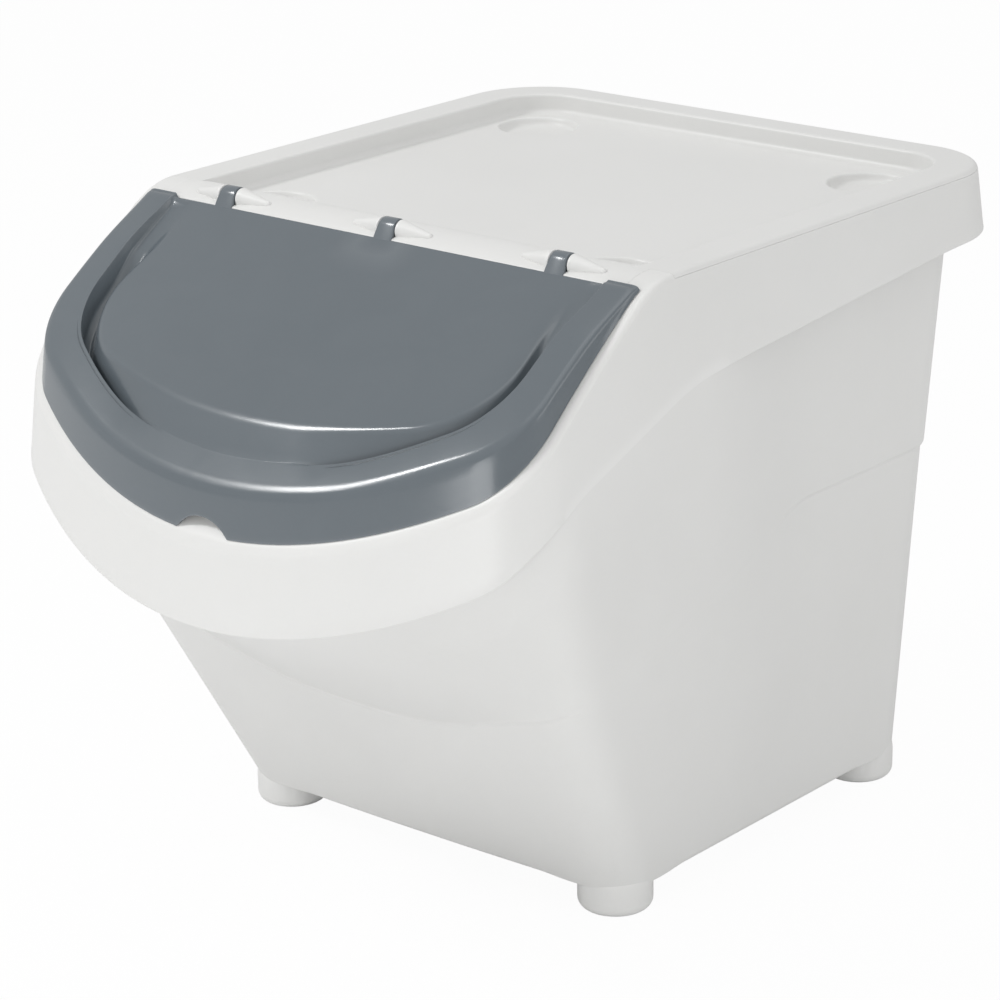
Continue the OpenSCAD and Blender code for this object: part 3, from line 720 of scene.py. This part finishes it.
def makeCover():
    wall = bin["wall"]
    skin = Skin()
    top, under, edgeRow = makeBand()
    skin.addGrid(top[::-1], under[::-1])
    # the floor, with three slots in its front edge and four round dimples
    slotHalf, slotBack = cover["slotWidth"] / 2, hinge["pinY"] + hinge["slotBack"]
    lipY = coverFront + cover["lipRound"]
    left, right = edgeRow[0][0], edgeRow[-1][0]
    stops = [right]
    for i in (1, 0, -1):
        stops += [i * hinge["pitch"] + slotHalf, i * hinge["pitch"] - slotHalf]
    stops.append(left)
    front, lips = [], []
    for k in range(0, len(stops), 2):
        xs = np.linspace(stops[k], stops[k + 1], max(3, int(abs(stops[k] - stops[k + 1]) / 5)))
        lips.append(xs)
        front += [(x, lipY) for x in xs]
        if k + 2 < len(stops):
            front += [(stops[k + 1], slotBack - 2), (stops[k + 1] - 2, slotBack), (stops[k + 2] + 2, slotBack),
                      (stops[k + 2], slotBack - 2)]
    side = [tuple(p[:2]) for p in edgeRow if p[1] > lipY + 0.3]
    outline = np.array(side + front)
    holeRadius = cover["dimpleSteps"][0][0]
    centres = [(x * feet["pitchX"] / 2, y * feet["pitchY"] / 2) for x in (-1, 1) for y in (-1, 1)]
    holes = [dimpleRing(x, y, holeRadius) for x, y in centres]
    spots = [(x, y) for y in np.arange(railStart + 6, trayBack - 3, 6.0) for x in np.arange(-126, 126.1, 6.0)]
    spots += [(x, y) for y in np.arange(railStart + 1.5, lipY + 0.8, -1.7)
              for x in np.arange(-127.5, 127.6, 4.25)]
    spots = np.array(spots)
    clear = insideLoop(spots, outline)
    for cx, cy in centres:
        clear &= np.hypot(spots[:, 0] - cx, spots[:, 1] - cy) > holeRadius + 1.5
    ends = np.roll(outline, -1, axis=0) - outline
    along = (np.einsum("ijk,jk->ij", spots[:, None] - outline[None], ends)
             / np.maximum((ends ** 2).sum(axis=1), 1e-9))
    near = outline[None] + np.clip(along, 0, 1)[:, :, None] * ends[None]
    reach = np.min(np.hypot(*(spots[:, None] - near).transpose(2, 0, 1)), axis=1)
    for i in (-1, 0, 1):
        clear &= (spots[:, 1] > slotBack + 1.2) | (np.abs(spots[:, 0] - i * hinge["pitch"]) > slotHalf + 1.2)
    extra = spots[clear & (reach > 1.3)].tolist()
    made, tris = fillLoops(outline, holes, extra)
    skin.add(withZ(made, floorAt(made[:, 1])), withZ(made, floorAt(made[:, 1]) - wall), tris)
    for xs in lips:                                            # the lip that hangs down along the hinge
        line = np.column_stack([xs, np.full(len(xs), lipY)])
        lipZ = float(floorAt(lipY))
        topRows, underRows = [withZ(line, lipZ)], [withZ(line, lipZ - wall)]
        r = cover["lipRound"]
        for a in np.linspace(0, math.pi / 2, 8)[1:]:
            drop = 0.5 * r * math.sin(a) + 0.8 * r * (1 - math.cos(a))
            topRows.append(withZ(line + [0, -r * math.sin(a)], lipZ - drop))
            underRows.append(withZ(line + [0, (wall - r) * math.sin(a)], lipZ - wall - drop))
        topRows.append(withZ(line + [0, -r], railZ - cover["railLip"]))
        underRows.append(withZ(line + [0, wall - r], railZ - cover["railLip"]))
        skin.addGrid(topRows, underRows)
    bottom = floorZ - cover["dimpleDepth"]
    for cx, cy in centres:
        topRows, underRows = [], []
        for r, part in cover["dimpleSteps"]:
            xy = dimpleRing(cx, cy, r)
            z = mix(floorAt(xy[:, 1]), bottom, part)
            lower = dimpleRing(cx, cy, r + (1.4 if r > 19 else 1.0 if r > 15 else 0))
            topRows.append(withZ(xy, z))
            underRows.append(withZ(lower if r < holeRadius else xy, z - wall))
        skin.addGrid(topRows, underRows, True)
    parts = [skin.thick()]
    # pins and the cones that fair them into the rail
    radius, length = hinge["hookRadius"], cover["fairing"]
    angles = np.linspace(0, 2 * math.pi, 40, endpoint=False)
    hingeParts = []
    for side in (-1, 1):
        rings = []
        for t in np.concatenate([[0, 0.012, 0.03], np.linspace(0.08, 0.94, 14), [0.965, 0.985, 0.997]]):
            r = mix(radius, 1.3, t)
            if t < 0.03:
                r *= 0.90 + 0.10 * math.sqrt(t / 0.03)
            if t > 0.94:
                r *= math.sqrt(max(0.0, 1 - ((t - 0.94) / 0.06) ** 2)) + 0.02
            x = side * (cover["slotWidth"] / 2 + 0.05 + length * t)
            z = mix(0, -0.5, t)
            rings.append(np.column_stack([np.full(40, x), r * np.cos(angles) * side, z + r * np.sin(angles)]))
        hingeParts.append(ringSolid(rings))
    pinCircle = hinge["pinRadius"] * np.cos(angles), hinge["pinRadius"] * np.sin(angles)
    pin = [np.column_stack([np.full(40, x), *pinCircle]) for x in np.linspace(-slotHalf - 1, slotHalf + 1, 5)]
    hingeParts.append(ringSolid(pin))
    points, faces = repeated("pins", hingeParts, whitePlastic, False,
                             {"Pitch X": hinge["pitch"] / 1000, "Count": 3})
    parts.append((points + [0, hinge["pinY"], hinge["pinZ"]], faces))
    return makePiece("top_cover_skin", parts, "top_cover", "bin", whitePlastic, 42)


makeCover()
print("bin: the top cover is made")


flap = {
    "thick": 1.8, "rearZ": bin["height"] - 4.4, "rise": 3.5, "flangeSlope": math.tan(math.radians(30)),
    "flangeBend": 0.00123, "panelSlope": math.tan(math.radians(30.5)), "grooveDepth": 11.0,
    "grooveStart": 36.0, "grooveBlend": 62.0, "seat": 0.55,
    "sideInsets": (5, 5.8, 6.4, 8.4, 24.0, 25.2, 29.4, 31.4, 36.0),
    "frontInsets": (3, 4.6, 5.4, 7.6, 16, 17.2, 18.8, 27.0, 33.0),
    "arcs": (283.2, 282.2, 281.8, 280.4, 240, 240, 245, 325, 325),
    "corners": (35.5, 35.3, 35.1, 34.5, 35, 34.5, 36, 43, 42),
    "rearShift": (0, 0, 0, 0, 1.5, 1.5, -3.0, -4.5, -5.0),
    "lifts": (0, 0, 1.8, 2.6, 3.8, 3.8, 0, 0, 0),
    "notchWidth": 31.0, "notchHeight": 8.0,
}


def flangeZ(y):
    t = hingeY - y
    return flap["rearZ"] + flap["rise"] * smooth(t / 3) - flap["flangeSlope"] * t - flap["flangeBend"] * t * t


def panelZ(y):
    return flap["rearZ"] + flap["panelSlope"] * (y - hingeY)


def grooveAt(x, y):
    return (flap["grooveDepth"] * smooth((hingeY - 4 - y) / 52)
            * smooth((np.abs(x) - flap["grooveStart"]) / flap["grooveBlend"]))


def seatZ(y):
    return rimZ(y) + flap["seat"]


def flapCurve(level):
    sides = np.concatenate([[0, 0.004, 0.012, 0.026, 0.045], np.linspace(0.07, 1, 34, endpoint=False)])
    half, _ = frontCurve(bin["rimHalf"] - flap["sideInsets"][level], -bin["rimFront"] + flap["frontInsets"][level],
                         flap["arcs"][level], flap["corners"][level], hingeY, sides, 34, 96)
    return np.vstack([half, mirrored(half), half[:1] * [-1, 1, -1, 1]])


def makeFlap():
    t = flap["thick"]
    rows = []
    for k in range(len(flap["arcs"])):
        curve = flapCurve(k)
        curve[:, 0] += np.sign(curve[:, 0]) * flap["rearShift"][k] * (1 - smooth((hingeY - 8 - curve[:, 1]) / 50))
        x, y = curve[:, 0], curve[:, 1]
        side = smooth((hingeY - 2 - y) / 36) * smooth((np.abs(x) - 60) / 64)
        seat, flange = seatZ(y), flangeZ(y) + flap["lifts"][k] * side
        sink, groove = smooth((hingeY - y) / 6), grooveAt(x, y)
        z = (seat,
             np.maximum(flange - 2.8, seat + 0.5 * t),
             np.maximum(flange - 0.8, seat + 0.8 * t),
             np.maximum(flange, seat + t),
             np.maximum(flange, seat + t),
             flange - np.maximum(groove, (flange - panelZ(y) + 0.15) * sink),
             np.minimum(panelZ(y) - 0.3 * sink - 0.35 * groove, flange + 1 - 1.1 * groove),
             panelZ(y) - 0.3 * sink,
             panelZ(y))[k]
        rows.append(withZ(curve[:, :2], z))
    # the finger notch lifts the lower edge
    radius = flap["notchHeight"] / 2 + flap["notchWidth"] ** 2 / (8 * flap["notchHeight"])
    middle = seatZ(-bin["rimFront"] + bin["lipInset"]) + flap["notchHeight"] - radius
    x, front = rows[0][:, 0], rows[0][:, 1] < -200
    arch = middle + np.sqrt(np.maximum(radius ** 2 - x ** 2, 0))
    inNotch = front & (np.abs(x) < flap["notchWidth"] / 2) & (arch > rows[0][:, 2])
    lifted = rows[0].copy()
    lifted[inNotch, 2] = arch[inNotch]
    share = ((lifted[:, 2] - rows[0][:, 2]) / np.maximum(rows[1][:, 2] - rows[0][:, 2], 1e-6))[:, None]
    rows[0] = np.where(inNotch[:, None], mix(rows[0], rows[1], share), rows[0])
    cut = np.maximum(grooveAt(rows[5][:, 0], rows[5][:, 1]) / flap["grooveDepth"],
                     smooth((np.abs(rows[5][:, 0]) - 105) / 15))[:, None]
    rounds = (2.0, 1.2, 2.0, mix(0.05, 0.6, cut), mix(0.05, 1.2, cut), mix(2.9, 2.2, cut), mix(3.0, 2.4, cut))
    dense = roundRows(rows, rounds, 6)
    rise = [mix(dense[0], dense[1], p) for p in (0.06, 0.25, 0.5, 0.75)]
    dense = [dense[0]] + rise + dense[1:]
    middlePoint = np.array([0, hingeY, flap["rearZ"]])
    for share in (0.96, 0.86, 0.72, 0.56, 0.4, 0.24, 0.1, 0.0):
        dense.append(middlePoint + (rows[-1] - middlePoint) * share)
    grid = np.array(dense)
    down = np.gradient(grid, axis=0)
    along = np.gradient(grid, axis=1)
    normal = np.cross(down, along)
    normal[-1] = [0, -flap["panelSlope"], 1]
    normal /= np.maximum(np.linalg.norm(normal, axis=2, keepdims=True), 1e-9)
    if normal[-3, 40, 2] < 0:
        normal = -normal
        normal[-1] *= -1
    normal[:, (0, -1), 1] = 0
    under = grid - normal * t
    ring = flapCurve(0)
    for i in range(5):                                        # the lower edge is cut level
        under[i, :, :2] = grid[i, :, :2] - ring[:, 2:] * t * 0.9
        under[i, :, 2] = grid[i, :, 2]
    skin = Skin()
    skin.addGrid(list(grid), list(under))
    parts = [skin.thick()]
    parts.append(makeHooks())
    return makePiece("flap_skin", parts, "flap", "flap", greyPlastic, 40)


def strapSolid(path, widths, thick):
    # a strap along a path of (y, z), with rounded long edges
    path = np.array(path, float)
    along = np.gradient(path, axis=0)
    along /= np.linalg.norm(along, axis=1, keepdims=True)
    across = np.column_stack([-along[:, 1], along[:, 0]])
    r = 0.45
    section = []
    for cx, cy, start in ((1, 1, 0), (-1, 1, 90), (-1, -1, 180), (1, -1, 270)):
        for a in np.radians(np.linspace(start, start + 90, 4)):
            section.append((cx, cy, r * math.cos(a), r * math.sin(a)))
    rings = []
    for (y, z), n, w in zip(path, across, widths):
        ring = []
        for cx, cy, ox, oy in section:
            x = cx * (w / 2 - r) + ox
            h = cy * (thick / 2 - r) + oy
            ring.append((x, y + n[0] * h, z + n[1] * h))
        rings.append(np.array(ring))
    return ringSolid(rings)


def makeHooks():
    # three hooks that wrap over the pins, each with a strap that runs down onto the panel
    middle = hinge["hookRadius"] - hinge["hookWall"] / 2
    around = np.radians(np.linspace(-28, 238, 44))
    over = np.radians(np.linspace(-28, 150, 32))
    around = around[around > over[-1] - 0.2]
    arcPath = (middle - 0.06) * np.column_stack([np.cos(around), np.sin(around)])
    strap = middle * np.column_stack([np.cos(over), np.sin(over)])
    join, ahead = strap[-1], np.array([-math.sin(over[-1]), math.cos(over[-1])])
    strap = np.vstack([strap, [join + ahead * t for t in np.linspace(0, 8.6, 14)[1:]]])
    widths = mix(hinge["topWidth"], hinge["rootWidth"], smooth((np.arange(len(strap)) - 24) / 16))
    parts = [strapSolid(arcPath, np.full(len(arcPath), hinge["topWidth"] - 0.2), hinge["hookWall"]),
             strapSolid(strap, widths, hinge["hookWall"])]
    points, faces = repeated("hooks", parts, greyPlastic, False,
                             {"Pitch X": hinge["pitch"] / 1000, "Count": 3})
    return points + [0, hinge["pinY"], hinge["pinZ"]], faces


makeFlap()
print("bin: the flap is made")


studio = {"lens": 128.29, "azimuth": 40.0553, "elevation": 18.8024, "roll": -0.8128,
          "target": (-0.048651, 0.0, 0.142801), "distance": 1.80284}


def makeFloor():
    mesh = bpy.data.meshes.new("floor")
    s = 6.0
    mesh.from_pydata([(-s, -s, 0), (s, -s, 0), (s, s, 0), (-s, s, 0)], [], [(0, 1, 2, 3)])
    floor = bpy.data.objects.new("floor", mesh)
    bpy.context.scene.collection.objects.link(floor)
    material = bpy.data.materials.new("pale floor")
    material.use_nodes = True
    nodes = Nodes(material.node_tree)
    seen = nodes.node("ShaderNodeLightPath", {}, {})
    matte = nodes.node("ShaderNodeBsdfDiffuse", {}, {"Color": (0.9, 0.9, 0.9, 1)})
    bright = nodes.node("ShaderNodeEmission", {}, {"Color": (1, 1, 1, 1), "Strength": 1.0})
    both = nodes.node("ShaderNodeMixShader", {}, {0: seen["Is Camera Ray"] * 0.96, 1: matte[0], 2: bright[0]})
    nodes.node("ShaderNodeOutputMaterial", {}, {"Surface": both[0]})
    mesh.materials.append(material)


def towards(azimuth, elevation):
    # a direction from the front, turned to the right and up
    a, e = math.radians(azimuth), math.radians(elevation)
    return Vector((math.sin(a) * math.cos(e), -math.cos(a) * math.cos(e), math.sin(e)))


def makeLight(name, azimuth, elevation, distance, size, power):
    lamp = bpy.data.lights.new(name, "AREA")
    lamp.shape, lamp.size, lamp.energy = "DISK", size, power
    holder = bpy.data.objects.new(name, lamp)
    back = towards(azimuth, elevation)
    holder.location = Vector((0, -0.05, 0.15)) + back * distance
    holder.rotation_mode = "QUATERNION"
    holder.rotation_quaternion = (-back).to_track_quat("-Z", "Y")
    bpy.context.scene.collection.objects.link(holder)


def makeWorld():
    world = bpy.data.worlds.new("studio")
    world.use_nodes = True
    bpy.context.scene.world = world
    nodes = Nodes(world.node_tree)
    path = nodes.node("ShaderNodeLightPath", {}, {})
    plain = nodes.node("ShaderNodeBackground", {}, {"Color": (1, 1, 1, 1), "Strength": 0.60})
    white = nodes.node("ShaderNodeBackground", {}, {"Color": (1, 1, 1, 1), "Strength": 1.0})
    seen = (path["Is Camera Ray"] + path["Is Transmission Ray"]).clamped()
    both = nodes.node("ShaderNodeMixShader", {}, {0: seen, 1: plain[0], 2: white[0]})
    nodes.node("ShaderNodeOutputWorld", {}, {"Surface": both[0]})


def makeCamera():
    camera = bpy.data.objects.new("camera", bpy.data.cameras.new("camera"))
    camera.data.lens, camera.data.sensor_width, camera.data.sensor_fit = studio["lens"], 36.0, "AUTO"
    camera.data.clip_start, camera.data.clip_end = 0.05, 60
    back, r = towards(studio["azimuth"], studio["elevation"]), math.radians(studio["roll"])
    flat = (-back).cross(Vector((0, 0, 1))).normalized()
    high = flat.cross(-back)
    right = flat * math.cos(r) + high * math.sin(r)
    up = high * math.cos(r) - flat * math.sin(r)
    place = Vector(studio["target"]) + back * studio["distance"]
    turn = Matrix((right, up, back)).transposed().to_4x4()
    camera.matrix_world = Matrix.Translation(place) @ turn
    bpy.context.scene.collection.objects.link(camera)
    bpy.context.scene.camera = camera


makeFloor()
makeLight("edge", -45, 46, 2.0, 0.42, 11)
makeLight("main", 30, 78, 2.0, 1.3, 3)
makeLight("right", 100, 20, 2.2, 1.3, 5.5)
makeLight("low front", 5, 28, 2.2, 2.4, 1.0)
makeLight("near the floor", 25, -6, 1.3, 0.7, 4.5)
makeLight("top", 200, 78, 2.0, 1.6, 2.5)
makeWorld()
makeCamera()
bpy.context.scene.view_settings.view_transform = "Standard"
print("bin: the studio is set")
